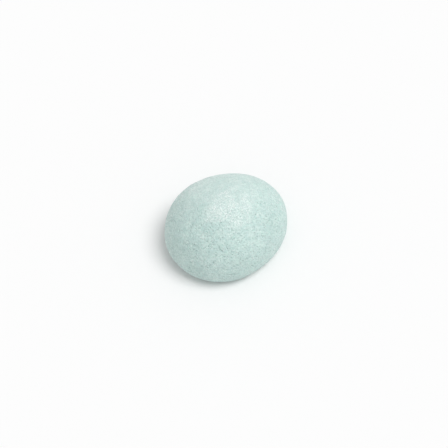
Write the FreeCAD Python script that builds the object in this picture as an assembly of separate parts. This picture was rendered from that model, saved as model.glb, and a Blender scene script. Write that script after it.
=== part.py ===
"""Konjac sponge: a half ball of soft, fine-pored plant foam with an egg-shaped plan, sized for one palm.

Lengths are in millimetres and +Z is up.  The sponge rests on its flat face at Z = 0, and the origin is at the
middle of its length and width.  +X points to the narrower end.

The real sponge is cast in one piece.  Here it is divided at two levels into a base, a core and a crown,
because a press brings the crown down towards the base and squeezes the core between them.
"""
import FreeCAD
import Part

import math
import os

# Plan at the girth: how far each end reaches from the widest station, and half the width there
BLUNT_REACH = 35.0
NARROW_REACH = 43.0
HALF_WIDTH = 34.0

# Side view: overall height, height of the girth, and how far the flat face stops short of the girth
HEIGHT = 42.0
GIRTH_HEIGHT = 10.0
RIM_INSET = 8.0

# Depth of the crown, the zone that keeps its form under a press
CROWN_DEPTH = 11.0

# Worked out from the sizes above
LENGTH = BLUNT_REACH + NARROW_REACH
WIDEST_X = BLUNT_REACH - LENGTH / 2
DOME_RISE = HEIGHT - GIRTH_HEIGHT
CROWN_BOTTOM = HEIGHT - CROWN_DEPTH
CROWN_ANGLE = math.asin((CROWN_BOTTOM - GIRTH_HEIGHT) / DOME_RISE)

QUARTER_TURN = math.pi / 2
QUARTER_TURN_DEG = 90
HALF_TURN_DEG = 180

ORIGIN = FreeCAD.Vector(0, 0, 0)
UPRIGHT = FreeCAD.Vector(0, 0, 1)


def outline_arc(centre_x, radius, rise, start, end):
    """Arc of the side outline: part of an ellipse centred at the girth's height, between two angles."""
    middle = (start + end) / 2
    weight = math.cos((end - start) / 2)
    poles = []
    for angle, spread in ((start, 1), (middle, 1 / weight), (end, 1)):
        across = centre_x + spread * radius * math.cos(angle)
        height = GIRTH_HEIGHT + spread * rise * math.sin(angle)
        poles.append(FreeCAD.Vector(across, 0, height))
    curve = Part.BezierCurve()
    curve.setPoles(poles)
    curve.setWeight(2, weight)
    return curve.toShape()


def half_turn(outline, reach, start_deg):
    """An outline turned half way round the upright axis and stretched to one end's reach."""
    start = outline.copy()
    start.rotate(ORIGIN, UPRIGHT, start_deg)
    stretch = FreeCAD.Matrix()
    stretch.scale(reach / HALF_WIDTH, 1, 1)
    stretch.move(FreeCAD.Vector(WIDEST_X, 0, 0))
    return start.revolve(ORIGIN, UPRIGHT, HALF_TURN_DEG).transformGeometry(stretch)


def egg_turn(outline):
    """An outline taken round the whole egg plan, as a narrow half and a blunt half."""
    narrow = half_turn(outline, NARROW_REACH, -QUARTER_TURN_DEG)
    blunt = half_turn(outline, BLUNT_REACH, QUARTER_TURN_DEG)
    return [narrow, blunt]


def level_face(point):
    """The flat face across the sponge at the height of a point on its side outline."""
    return Part.Face(Part.Wire(egg_turn(Part.Vertex(point))))


def foam_zone(arc, ends):
    """A solid zone with one arc of the side outline, closed by flat faces at the given ends of that arc."""
    shell = Part.Shell(egg_turn(arc) + [level_face(end.Point) for end in ends])
    shell.sewShape()
    return Part.Solid(shell)


def flat_base():
    """The foot of the sponge up to its girth, with the flat face that it rests on."""
    rim = outline_arc(HALF_WIDTH - RIM_INSET, RIM_INSET, GIRTH_HEIGHT, -QUARTER_TURN, 0)
    return foam_zone(rim, rim.Vertexes)


def soft_core():
    """The thick middle, from the girth up, which gives way under a press."""
    flank = outline_arc(0, HALF_WIDTH, DOME_RISE, 0, CROWN_ANGLE)
    return foam_zone(flank, flank.Vertexes)


def domed_crown():
    """The top of the dome, which a palm presses."""
    dome = outline_arc(0, HALF_WIDTH, DOME_RISE, CROWN_ANGLE, QUARTER_TURN)
    return foam_zone(dome, [dome.firstVertex()])


def main():
    os.makedirs("parts", exist_ok=True)
    for zone in (flat_base, soft_core, domed_crown):
        zone().exportStep(f"parts/{zone.__name__}.step")


main()
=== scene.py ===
"""Looks of a konjac sponge: a damp, pale blue-green half ball of fine-pored foam on a white floor.

Lengths are in metres, in the frame's own axes. The foam is one closed skin over the base, the core and the
crown. Its pores are carved into the mesh, and shallow pinholes, grain and lather are in the material,
which paints shade into the pores and pinholes and glints among the lather's froth.
"""
import math
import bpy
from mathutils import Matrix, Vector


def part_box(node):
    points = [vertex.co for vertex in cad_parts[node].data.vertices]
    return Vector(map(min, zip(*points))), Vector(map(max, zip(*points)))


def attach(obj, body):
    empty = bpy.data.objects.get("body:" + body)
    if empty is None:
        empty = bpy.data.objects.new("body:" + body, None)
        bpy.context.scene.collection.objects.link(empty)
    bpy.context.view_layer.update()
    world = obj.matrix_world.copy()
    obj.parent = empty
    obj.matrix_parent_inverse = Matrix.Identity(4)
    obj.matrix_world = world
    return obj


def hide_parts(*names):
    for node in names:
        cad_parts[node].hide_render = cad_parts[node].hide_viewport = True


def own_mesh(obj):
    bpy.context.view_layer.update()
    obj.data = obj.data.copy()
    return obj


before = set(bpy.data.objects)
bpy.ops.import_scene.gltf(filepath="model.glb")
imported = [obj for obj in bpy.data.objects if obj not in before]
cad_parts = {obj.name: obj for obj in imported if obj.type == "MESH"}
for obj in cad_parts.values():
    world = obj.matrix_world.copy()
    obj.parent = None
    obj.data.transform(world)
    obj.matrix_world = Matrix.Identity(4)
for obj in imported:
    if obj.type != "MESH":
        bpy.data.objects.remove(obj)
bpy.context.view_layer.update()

from types import SimpleNamespace

import bpy
import numpy as np
from mathutils import Vector, noise
from mathutils.geometry import delaunay_2d_cdt
from mathutils.kdtree import KDTree

SEED = 41
MM = 0.001

# Pores from large to small: tries, radii, least foam between two, points round the mouth, rings below it
PORE_KINDS = (
    SimpleNamespace(tries=70, least=0.42 * MM, most=0.60 * MM, wall=6.0 * MM, points=9, rings=2),
    SimpleNamespace(tries=4300, least=0.22 * MM, most=0.42 * MM, wall=0.30 * MM, points=6, rings=1),
    SimpleNamespace(tries=15000, least=0.13 * MM, most=0.22 * MM, wall=0.26 * MM, points=5, rings=0),
)

# Power by which the smaller radii of each kind are favoured
SMALL_PORE_BIAS = 1.6

# Form of a pore: its depth in radii, how oval and uneven its mouth is, and the rings' widths and depths
PORE_DEPTH_SHARES = (0.62, 1.34)
PORE_OVAL_SHARE = 0.22
PORE_UNEVEN_SHARE = 0.16
RING_WIDTH_SHARES = (0.70, 0.42)
RING_DEPTH_SHARES = (0.70, 0.92)

# Steps along each of the dome, the rim and the foot in the side outline
OUTLINE_STEPS = 4000

# Plain skin between the pores: points tried, their jitter in spacings, and how far they keep from a pore
SKIN_POINTS = 26000
SKIN_JITTER_SHARE = 0.32
SKIN_CLEARANCE = 0.14 * MM
GOLDEN_ANGLE = math.pi * (3 - math.sqrt(5))

# Small hole in the middle of the foot, which one flat face closes, and the share of the skin clear of it
FOOT_HOLE_RADIUS = 0.8 * MM
FOOT_HOLE_POINTS = 8
SKIN_AREA_SHARE = 0.9993

# Corners of the base below this share of the height of its girth belong to the foot
FOOT_HEIGHT_SHARE = 0.01

# Mesh points this close are one, on a plane that reaches out to 1
MERGE_DISTANCE = 1e-12

# How far the apex lies inside the first ring of the unrolled skin, as a natural logarithm
APEX_LOG_DROP = 9.0

# Texture map: its name, and the room round its two discs
MAP_NAME = "OFBake"
MAP_MARGIN = 0.01

# Unevenness of the skin: height of each kind of wave and its length
WAVES = (
    SimpleNamespace(height=0.55 * MM, length=26 * MM),
    SimpleNamespace(height=0.16 * MM, length=7 * MM),
    SimpleNamespace(height=0.05 * MM, length=2.2 * MM),
)

# Foam colours, linear
PALE_FOAM = (0.63, 0.785, 0.745, 1)
DEEP_FOAM = (0.548, 0.71, 0.67, 1)
MOTTLE_FOAM = (0.48, 0.648, 0.63, 1)
GRAIN_FOAM = (0.44, 0.575, 0.545, 1)
# Painted shade, darkening the pores and pinholes
PORE_SHADE = (0.27, 0.40, 0.37, 1)
FILM_FOAM = (0.69, 0.725, 0.705, 1)
# White of the lather, also used for painted glints among its froth dots
LATHER_AND_GLINT_WHITE = (0.85, 0.93, 0.908, 1)

# Soft random patterns: size of their features, how far these break up, and the levels they rise between
PATCH = SimpleNamespace(size=17 * MM, detail=2.0, low=0.30, high=0.70)
MOTTLE = SimpleNamespace(size=3.6 * MM, detail=2.0, low=0.35, high=0.65)
GRAIN = SimpleNamespace(size=1.15 * MM, detail=3.0, low=0.33, high=0.70)
# The froth pattern gives white lather dots that are partly painted glints
FROTH_AND_GLINT = SimpleNamespace(size=0.75 * MM, detail=2.0, low=0.54, high=0.66)
FILM_CLOUD = SimpleNamespace(size=3.0 * MM, detail=3.0, low=0.45, high=0.70)

# Shallow pinholes: the cells they lie in, the share of cells with one, and its radii in cells
PINHOLE = SimpleNamespace(spacing=0.85 * MM, share=0.60, rim_share=0.34, bottom_share=0.10)

# How strongly each pattern colours the foam, the pinholes and pores with painted shade, and the froth with
# white lather dots and painted glints, first off its bed and then in it
MOTTLE_SHARE = 0.58
GRAIN_SHARE = 0.70
PINHOLE_SHADE_SHARE = 0.50
PORE_SHADE_SHARE = 0.48
FILM_SHARE = 0.13
FILM_CLOUD_SHARE = 0.14
FROTH_BED_SHARE = 0.16
FROTH_AND_GLINT_SHARES = (0.27, 0.70)

# How much further the pattern of froth and painted glints rises in its bed, so that its dots grow and join
# there
FROTH_AND_GLINT_LIFT = 0.06

# How much of the pores and pinholes the film fills
FILLED_SHARE = 0.75

# How far each pattern stands out of the skin, or sinks into it below zero
GRAIN_RISE = -0.07 * MM
PINHOLE_RISE = -0.11 * MM
FROTH_RISE = 0.07 * MM

# Finish of the foam, with its roughness off the grain and in it
ROUGHNESSES = (0.42, 0.60)
FOAM_FINISH = {
    "Specular IOR Level": 0.35,
    "Subsurface Weight": 0.3,
    "Subsurface Radius": (0.75, 1.0, 0.92),
    "Subsurface Scale": 1.2 * MM,
    "Coat Weight": 0.08,
    "Coat Roughness": 0.28,
}

# Patches of lather: the middle in half lengths, half widths and heights, the other shares in half widths
FROTH_PATCH = SimpleNamespace(
    middle_shares=(-0.11, -0.19, 0.976),
    full_reach_share=0.10,
    reach_share=0.52,
    ragged_share=0.20,
)
FILM_PATCH = SimpleNamespace(
    middle_shares=(0.10, 0.37, 0.92),
    full_reach_share=0.42,
    reach_share=1.10,
    ragged_share=0.25,
)

# Waves in the lather's edge: each finer octave is shorter by a factor, and weaker by a power of that factor
EDGE = SimpleNamespace(length=7 * MM, weaker_power=1.0, shorter=2.0, octaves=3)

# Camera: viewing angle, lens, and where a point over the sponge's middle lies in the picture
CAMERA_AZIMUTH = -32.0
CAMERA_ELEVATION = 56.0
LENS_MM = 85.0
SENSOR_MM = 36.0
PICTURE_SIDE_PX = 448
PIXEL_WIDTH = 0.608 * MM
AIM_HEIGHT = 15 * MM
AIM_PX = (227.3, 223.1)

# Light: how bright a white surface gets from all round and from the key lamp, and the lamp's direction
SKY_LEVEL = 0.64
KEY_LEVEL = 0.52
KEY_WIDTH_DEG = 34.0
KEY_SHARES = SimpleNamespace(back=0.80, right=0.40, up=0.46)

# Floor: its size, how far it lies below the flat face, and its finish
FLOOR_SIDE = 12.0
FLOOR_DROP = 0.02 * MM
FLOOR_GREY = 0.88
FLOOR_ROUGHNESS = 0.9

# Sockets of a mix node that take and give colours
MIX_COLOUR_A = 6
MIX_COLOUR_B = 7
MIX_COLOUR_RESULT = 2


def sponge_form():
    """The sponge's main sizes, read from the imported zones."""
    base_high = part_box("flat_base")[1]
    crown_low, crown_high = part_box("domed_crown")
    half_length, half_width, girth_height = base_high
    crown_share = crown_high.y / half_width
    widest_x = (crown_low.x + crown_share * half_length) / (1 - crown_share)
    corners = [v.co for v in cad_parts["flat_base"].data.vertices]
    foot_half_width = max(co.y for co in corners if co.z < FOOT_HEIGHT_SHARE * girth_height)
    return SimpleNamespace(
        widest_x=widest_x,
        half_length=half_length,
        blunt_reach=half_length + widest_x,
        narrow_reach=half_length - widest_x,
        half_width=half_width,
        foot_half_width=foot_half_width,
        height=crown_high.z,
        girth_height=girth_height,
    )


def side_outline(form):
    """Side outline before the stretch along X, from the apex round to the middle of the foot."""
    angle = np.linspace(math.pi / 2, -math.pi / 2, 2 * OUTLINE_STEPS + 1)
    above = angle >= 0
    dome_radius = form.half_width * np.cos(angle)
    rim_inset = form.half_width - form.foot_half_width
    rim_radius = form.foot_half_width + rim_inset * np.cos(angle)
    rise = np.where(above, form.height - form.girth_height, form.girth_height)
    foot = np.linspace(rim_radius[-1], FOOT_HOLE_RADIUS, OUTLINE_STEPS)[1:]
    radius = np.concatenate([np.where(above, dome_radius, rim_radius), foot])
    level = np.concatenate([form.girth_height + rise * np.sin(angle), np.zeros(len(foot))])
    return radius, level


class Skin:
    """The sponge's surface, unrolled onto a plane so that small circles stay circles.

    A point of the plane is at the distance rho from the apex and keeps its bearing round the upright axis.
    """

    def __init__(self, form):
        self.form = form
        self.radius, self.level = side_outline(form)
        run = np.hypot(np.diff(self.radius), np.diff(self.level))
        middle = (self.radius[1:] + self.radius[:-1]) / 2
        arc = np.concatenate([[0], np.cumsum(run)])
        spread = np.concatenate([[0], np.cumsum(run[1:] / middle[1:])])
        first_ring = math.log(arc[1])
        self.log_rho = np.concatenate([[first_ring - APEX_LOG_DROP], first_ring + spread])
        area = np.concatenate([[0], np.cumsum(run * middle)])
        self.area_share = area / area[-1]
        self.dome_share = self.area_share[2 * OUTLINE_STEPS]
        # Outward normal in the upright plane: its part away from the axis, and its part upwards
        self.out = -np.gradient(self.level, arc)
        self.up = np.gradient(self.radius, arc)

    def at_share(self, share, bearing):
        """Plane points that lie a share of the whole area away from the apex, at a bearing."""
        rho = np.exp(np.interp(share, self.area_share, self.log_rho))
        return np.stack([rho * np.cos(bearing), rho * np.sin(bearing)], axis=-1)

    def scale(self, plane):
        """How much larger a length is on the plane than on the sponge, at plane points."""
        rho = np.maximum(np.hypot(plane[..., 0], plane[..., 1]), np.exp(self.log_rho[1]))
        return rho / np.interp(np.log(rho), self.log_rho, self.radius)

    def read(self, plane, *along):
        """Values kept along the side outline, read at plane points, and the bearings of these."""
        rho = np.maximum(np.hypot(plane[..., 0], plane[..., 1]), np.exp(self.log_rho[0]))
        values = [np.interp(np.log(rho), self.log_rho, kept) for kept in along]
        return *values, plane[..., 0] / rho, plane[..., 1] / rho

    def place(self, plane):
        """Points on the sponge, and the outward normals there, for plane points."""
        radius, level, out, up, east, north = self.read(plane, self.radius, self.level, self.out, self.up)
        reach = np.where(east > 0, self.form.narrow_reach, self.form.blunt_reach)
        stretch = reach / self.form.half_width
        point = np.stack([self.form.widest_x + stretch * radius * east, radius * north, level], axis=-1)
        normal = np.stack([out * east / stretch, out * north, up], axis=-1)
        return point, normal / np.linalg.norm(normal, axis=-1, keepdims=True)


def scatter_pores(skin, rng):
    """Pore mouths that keep clear of each other, largest first: plane points, places, radii and kinds."""
    most = sum(kind.tries for kind in PORE_KINDS)
    plane, place = np.zeros((most, 2)), np.zeros((most, 3))
    radius, kind_index = np.zeros(most), np.zeros(most, int)
    count = 0
    for index, kind in enumerate(PORE_KINDS):
        share = rng.uniform(0, SKIN_AREA_SHARE, kind.tries)
        tried = skin.at_share(share, rng.uniform(-math.pi, math.pi, kind.tries))
        tried_place = skin.place(tried)[0]
        size_share = rng.uniform(0, 1, kind.tries) ** SMALL_PORE_BIAS
        tried_radius = kind.least + (kind.most - kind.least) * size_share
        for i in range(kind.tries):
            gap = np.linalg.norm(place[:count] - tried_place[i], axis=1) - radius[:count]
            if np.all(gap > tried_radius[i] + kind.wall):
                plane[count], place[count], radius[count] = tried[i], tried_place[i], tried_radius[i]
                kind_index[count] = index
                count += 1
    return plane[:count], place[:count], radius[:count], kind_index[:count]


def pore_points(skin, rng, plane, radius, kind):
    """Mesh points of pores of one kind: plane points, depths, and depths as shares of the deepest, for
    painted shade.
    """
    turn = np.arange(kind.points) * 2 * math.pi / kind.points
    phase = rng.uniform(0, 2 * math.pi, (len(plane), 1))
    uneven = 1 + PORE_UNEVEN_SHARE * rng.uniform(-1, 1, (len(plane), kind.points))
    reach = (radius * skin.scale(plane))[:, None] * uneven
    lean = rng.uniform(0, math.pi, (len(plane), 1))
    full_depth = radius * rng.uniform(*PORE_DEPTH_SHARES, len(plane))
    points, depths, radii = [plane], [full_depth], [radius]
    widths = (1, *RING_WIDTH_SHARES[:kind.rings])
    depth_shares = (0, *RING_DEPTH_SHARES[:kind.rings])
    for ring, (width, depth_share) in enumerate(zip(widths, depth_shares)):
        angle = turn + phase + ring * math.pi / kind.points
        oval = 1 + PORE_OVAL_SHARE * np.cos(2 * (angle - lean))
        step = np.stack([np.cos(angle), np.sin(angle)], axis=-1) * (width * reach * oval)[..., None]
        points.append((plane[:, None] + step).reshape(-1, 2))
        depths.append(depth_share * np.repeat(full_depth, kind.points))
        radii.append(np.repeat(radius, kind.points))
    depth = np.concatenate(depths)
    return np.concatenate(points), depth, depth / (max(PORE_DEPTH_SHARES) * np.concatenate(radii))


def skin_points(skin, rng, pore_place, pore_radius):
    """Points of the plain skin: an even spiral with some jitter, without those in or near a pore."""
    step = np.arange(SKIN_POINTS)
    plane = skin.at_share(SKIN_AREA_SHARE * (step + 0.5) / SKIN_POINTS, step * GOLDEN_ANGLE)
    spacing = 2 * skin.form.half_width * math.sqrt(math.pi / SKIN_POINTS)
    jitter = rng.uniform(-1, 1, plane.shape) * SKIN_JITTER_SHARE * spacing
    plane = plane + jitter * skin.scale(plane)[:, None]
    place = skin.place(plane)[0]
    tree = KDTree(len(pore_place))
    for i, co in enumerate(pore_place):
        tree.insert(co, i)
    tree.balance()
    widest = pore_radius.max() + SKIN_CLEARANCE
    free = [
        all(gap > pore_radius[i] + SKIN_CLEARANCE for _, i, gap in tree.find_range(co, widest))
        for co in place
    ]
    return plane[np.array(free)]


def foot_hole_points(skin):
    """A small ring of points round the middle of the foot, where the skin is closed."""
    bearing = np.arange(FOOT_HOLE_POINTS) * 2 * math.pi / FOOT_HOLE_POINTS
    return skin.at_share(np.ones(FOOT_HOLE_POINTS), bearing)


def waves(place):
    """Height of the skin's unevenness at points on the sponge."""
    total = np.zeros(len(place))
    for wave in WAVES:
        total += [wave.height * noise.noise(Vector(co) / wave.length) for co in place]
    return total


def lather_cover(place, patch, form):
    """How much a patch of lather covers points on the sponge: 1 in its middle, 0 past its ragged edge."""
    middle = np.array(patch.middle_shares) * (form.half_length, form.half_width, form.height)
    ragged = [
        noise.fractal(Vector(co) / EDGE.length, EDGE.weaker_power, EDGE.shorter, EDGE.octaves)
        for co in place
    ]
    away = np.linalg.norm(place - middle, axis=1) / form.half_width + patch.ragged_share * np.array(ragged)
    cover = np.clip((patch.reach_share - away) / (patch.reach_share - patch.full_reach_share), 0, 1)
    return cover * cover * (3 - 2 * cover)


def face_corners(mesh, chosen):
    """Vertex at each face corner, and whether all vertices of that face are chosen ones."""
    corner = np.empty(len(mesh.loops), int)
    mesh.loops.foreach_get("vertex_index", corner)
    first = np.empty(len(mesh.polygons), int)
    mesh.polygons.foreach_get("loop_start", first)
    count = np.diff(np.append(first, len(corner)))
    return corner, np.repeat(np.logical_and.reduceat(chosen[corner], first), count)


def lay_out_map(mesh, skin, plane):
    """Lays the skin out for textures at an even scale, in two discs: the dome with its rim, and the foot.

    The discs fill two opposite corners of the map and meet between them, with a margin all round.
    """
    share, radius, east, north = skin.read(plane, skin.area_share, skin.radius)
    corner, on_foot = face_corners(mesh, share >= skin.dome_share)
    both_discs = (math.sqrt(2) * (1 - 2 * MAP_MARGIN) - MAP_MARGIN) / (1 + math.sqrt(2))
    dome_disc = both_discs / (1 + math.sqrt(1 / skin.dome_share - 1))
    foot_disc = both_discs - dome_disc
    dome_reach = dome_disc * np.sqrt(share / skin.dome_share)
    foot_reach = foot_disc * radius / skin.form.foot_half_width
    dome = MAP_MARGIN + dome_disc + dome_reach[:, None] * np.stack([east, north], axis=-1)
    foot = 1 - MAP_MARGIN - foot_disc + foot_reach[:, None] * np.stack([east, -north], axis=-1)
    layer = mesh.uv_layers.new(name=MAP_NAME)
    layer.uv.foreach_set("vector", np.where(on_foot[:, None], foot[corner], dome[corner]).ravel())


def foam_mesh(skin):
    """The closed, pored skin of the sponge."""
    rng = np.random.default_rng(SEED)
    pore_plane, pore_place, pore_radius, pore_kind = scatter_pores(skin, rng)
    groups = []
    for index, kind in enumerate(PORE_KINDS):
        chosen = pore_kind == index
        groups.append(pore_points(skin, rng, pore_plane[chosen], pore_radius[chosen], kind))
    plain = skin_points(skin, rng, pore_place, pore_radius)
    hole = foot_hole_points(skin)
    plane = np.concatenate([g[0] for g in groups] + [plain, hole])
    flat = np.zeros(len(plain) + len(hole))
    depth = np.concatenate([g[1] for g in groups] + [flat])
    pit_shade = np.concatenate([g[2] for g in groups] + [flat])

    flat_points = [Vector(p) for p in plane / plane.max()]
    _, _, faces, sources, _, _ = delaunay_2d_cdt(flat_points, [], [], 0, MERGE_DISTANCE)
    order = np.array([source[0] for source in sources])
    plane, depth, pit_shade = plane[order], depth[order], pit_shade[order]
    # The ring round the hole came last, and one flat face closes it
    hole_ring = np.argsort(order)[-FOOT_HOLE_POINTS:]
    faces = [*faces, hole_ring[::-1].tolist()]

    place, normal = skin.place(plane)
    film = lather_cover(place, FILM_PATCH, skin.form)
    froth_bed = lather_cover(place, FROTH_PATCH, skin.form)
    left_open = 1 - FILLED_SHARE * film
    standing = np.clip(place[:, 2] / skin.form.girth_height, 0, 1)
    place = place + normal * (waves(place) * standing - depth * left_open)[:, None]
    place[:, 2] = np.maximum(place[:, 2], 0)

    mesh = bpy.data.meshes.new("sponge_foam")
    mesh.from_pydata(place.tolist(), [], faces)
    # The first of these marks paints shade into the pores, less where the film fills them
    for name, values in (("pit_shade", pit_shade * left_open), ("film", film), ("froth_bed", froth_bed)):
        mesh.attributes.new(name, "FLOAT", "POINT").data.foreach_set("value", values)
    mesh.attributes.new("rest", "FLOAT_VECTOR", "POINT").data.foreach_set("vector", place.ravel())
    mesh.shade_smooth()
    mesh.validate()
    lay_out_map(mesh, skin, plane)
    return mesh


class Graph:
    """A node tree that is written one node at a time."""

    def __init__(self, tree):
        self.tree = tree

    def feed(self, socket, value):
        """Sets an input to a value, or links it to another node's output."""
        if isinstance(value, bpy.types.NodeSocket):
            self.tree.links.new(value, socket)
        else:
            socket.default_value = value

    def add(self, kind, inputs, output=0, **settings):
        """A new node with its settings and inputs; gives back one of its outputs."""
        node = self.tree.nodes.new("ShaderNode" + kind)
        for name, value in settings.items():
            setattr(node, name, value)
        for name, value in inputs.items():
            self.feed(node.inputs[name], value)
        return node.outputs[output]

    def fade(self, value, start, end, low=0.0, high=1.0):
        """Smooth change from low to high as a value goes from start to end."""
        inputs = {"Value": value, "From Min": start, "From Max": end, "To Min": low, "To Max": high}
        return self.add("MapRange", inputs, interpolation_type="SMOOTHSTEP")

    def between(self, share, low, high):
        """Smooth change from low to high as a share goes from 0 to 1."""
        return self.fade(share, 0.0, 1.0, low, high)

    def times(self, a, b):
        """Product of two numbers."""
        return self.add("Math", {0: a, 1: b}, operation="MULTIPLY")

    def plus(self, a, b):
        """Sum of two numbers."""
        return self.add("Math", {0: a, 1: b}, operation="ADD")

    def tint(self, share, a, b):
        """Colour a changed by a share of colour b."""
        inputs = {"Factor": share, MIX_COLOUR_A: a, MIX_COLOUR_B: b}
        return self.add("Mix", inputs, output=MIX_COLOUR_RESULT, data_type="RGBA")

    def mark(self, name):
        """A number that the mesh keeps at each of its points."""
        return self.add("Attribute", {}, output="Fac", attribute_name=name)

    def clouds(self, where, pattern, lift=None):
        """Soft random pattern, from 0 to 1, that a lift raises where it is given."""
        level = self.add("TexNoise", {"Vector": where, "Scale": 1 / pattern.size, "Detail": pattern.detail})
        if lift is not None:
            level = self.plus(level, lift)
        return self.fade(level, pattern.low, pattern.high)


def pinholes(graph, where):
    """Round dots in some cells of a random pattern: 1 in the middle of a dot and 0 off it."""
    cells = {"Vector": where, "Scale": 1 / PINHOLE.spacing}
    away = graph.add("TexVoronoi", cells, output="Distance")
    chance = graph.add("SeparateColor", {"Color": graph.add("TexVoronoi", cells, output="Color")})
    chosen = graph.add("Math", {0: chance, 1: PINHOLE.share}, operation="LESS_THAN")
    return graph.times(graph.fade(away, PINHOLE.rim_share, PINHOLE.bottom_share), chosen)


def foam_material():
    """Damp konjac foam: uneven pale blue-green, painted shade in pores and pinholes, whitish lather with
    painted glints.
    """
    material = bpy.data.materials.new("konjac_foam")
    material.use_nodes = True
    graph = Graph(material.node_tree)
    where = graph.add("Attribute", {}, output="Vector", attribute_name="rest")
    pit_shade, film, froth_bed = graph.mark("pit_shade"), graph.mark("film"), graph.mark("froth_bed")
    grain = graph.clouds(where, GRAIN)
    # Froth dots: white lather and painted glints, denser in the froth's bed
    froth_and_glint = graph.clouds(where, FROTH_AND_GLINT, lift=graph.times(froth_bed, FROTH_AND_GLINT_LIFT))
    froth_and_glint = graph.times(froth_and_glint, graph.between(froth_bed, *FROTH_AND_GLINT_SHARES))
    pinhole = graph.times(pinholes(graph, where), graph.between(film, 1.0, 1 - FILLED_SHARE))

    colour = graph.tint(graph.clouds(where, PATCH), DEEP_FOAM, PALE_FOAM)
    colour = graph.tint(graph.times(graph.clouds(where, MOTTLE), MOTTLE_SHARE), colour, MOTTLE_FOAM)
    colour = graph.tint(graph.times(grain, GRAIN_SHARE), colour, GRAIN_FOAM)
    colour = graph.tint(graph.times(film, FILM_SHARE), colour, FILM_FOAM)
    cloud = graph.times(film, graph.clouds(where, FILM_CLOUD))
    colour = graph.tint(graph.times(cloud, FILM_CLOUD_SHARE), colour, LATHER_AND_GLINT_WHITE)
    colour = graph.tint(graph.times(froth_bed, FROTH_BED_SHARE), colour, FILM_FOAM)
    # Painted shade in the pinholes
    colour = graph.tint(graph.times(pinhole, PINHOLE_SHADE_SHARE), colour, PORE_SHADE)
    # White froth dots, partly painted glints
    colour = graph.tint(froth_and_glint, colour, LATHER_AND_GLINT_WHITE)
    # Painted shade in the carved pores, darker the deeper they are
    colour = graph.tint(graph.times(pit_shade, PORE_SHADE_SHARE), colour, PORE_SHADE)

    rise = graph.plus(graph.times(grain, GRAIN_RISE), graph.times(pinhole, PINHOLE_RISE))
    rise = graph.plus(rise, graph.times(froth_and_glint, FROTH_RISE))

    shader = material.node_tree.nodes["Principled BSDF"]
    values = {
        "Base Color": colour,
        "Roughness": graph.between(grain, *ROUGHNESSES),
        "Normal": graph.add("Bump", {"Height": rise, "Distance": 1.0}),
        **FOAM_FINISH,
    }
    for name, value in values.items():
        graph.feed(shader.inputs[name], value)
    return material


def make_sponge():
    """The sponge as one piece of soft foam, which stands for its three zones."""
    form = sponge_form()
    sponge = bpy.data.objects.new("sponge_foam", foam_mesh(Skin(form)))
    bpy.context.scene.collection.objects.link(sponge)
    sponge.data.materials.append(foam_material())
    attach(sponge, "base")
    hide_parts("flat_base", "soft_core", "domed_crown")
    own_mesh(sponge)


def camera_axes():
    """Unit vectors from the sponge to the camera, to the picture's right and to its top."""
    azimuth, elevation = math.radians(CAMERA_AZIMUTH), math.radians(CAMERA_ELEVATION)
    back = Vector((
        math.sin(azimuth) * math.cos(elevation),
        -math.cos(azimuth) * math.cos(elevation),
        math.sin(elevation),
    ))
    right = Vector((math.cos(azimuth), math.sin(azimuth), 0))
    return back, right, back.cross(right)


def make_camera():
    """A camera that shows the sponge at its place and size in the picture."""
    back, right, up = camera_axes()
    distance = LENS_MM / SENSOR_MM * PICTURE_SIDE_PX * PIXEL_WIDTH
    aside = (AIM_PX[0] - PICTURE_SIDE_PX / 2) * PIXEL_WIDTH
    below = (AIM_PX[1] - PICTURE_SIDE_PX / 2) * PIXEL_WIDTH
    data = bpy.data.cameras.new("camera")
    data.lens = LENS_MM
    data.sensor_width = SENSOR_MM
    camera = bpy.data.objects.new("camera", data)
    camera.location = Vector((0, 0, AIM_HEIGHT)) + back * distance - right * aside + up * below
    camera.rotation_mode = "QUATERNION"
    camera.rotation_quaternion = (-back).to_track_quat("-Z", "Y")
    bpy.context.scene.collection.objects.link(camera)
    bpy.context.scene.camera = camera


def make_key():
    """A broad lamp from behind the camera, above it and a little to its right."""
    back, right, up = camera_axes()
    towards = (KEY_SHARES.back * back + KEY_SHARES.right * right + KEY_SHARES.up * up).normalized()
    data = bpy.data.lights.new("key", "SUN")
    data.angle = math.radians(KEY_WIDTH_DEG)
    data.energy = KEY_LEVEL * math.pi
    key = bpy.data.objects.new("key", data)
    key.rotation_mode = "QUATERNION"
    key.rotation_quaternion = (-towards).to_track_quat("-Z", "Y")
    bpy.context.scene.collection.objects.link(key)


def make_sky():
    """Even light from all round, which looks white where it is seen."""
    world = bpy.data.worlds.new("sky")
    world.use_nodes = True
    graph = Graph(world.node_tree)
    path = world.node_tree.nodes.new("ShaderNodeLightPath")
    mirrored = graph.plus(path.outputs["Is Glossy Ray"], path.outputs["Is Transmission Ray"])
    seen = graph.plus(path.outputs["Is Camera Ray"], mirrored)
    sky = world.node_tree.nodes["Background"]
    graph.feed(sky.inputs["Color"], (1, 1, 1, 1))
    graph.feed(sky.inputs["Strength"], graph.between(seen, SKY_LEVEL, 1.0))
    bpy.context.scene.world = world


def make_floor():
    """A plain white floor, a hair below the flat face so that the two don't share a plane."""
    half = FLOOR_SIDE / 2
    corners = [(-half, -half, 0), (half, -half, 0), (half, half, 0), (-half, half, 0)]
    mesh = bpy.data.meshes.new("floor")
    mesh.from_pydata(corners, [], [range(len(corners))])
    floor = bpy.data.objects.new("floor", mesh)
    floor.location.z = -FLOOR_DROP
    bpy.context.scene.collection.objects.link(floor)
    material = bpy.data.materials.new("floor")
    material.use_nodes = True
    shader = material.node_tree.nodes["Principled BSDF"]
    shader.inputs["Base Color"].default_value = (FLOOR_GREY, FLOOR_GREY, FLOOR_GREY, 1)
    shader.inputs["Roughness"].default_value = FLOOR_ROUGHNESS
    shader.inputs["Specular IOR Level"].default_value = 0
    mesh.materials.append(material)


make_sponge()
make_camera()
make_key()
make_sky()
make_floor()
bpy.context.scene.view_settings.view_transform = "Standard"
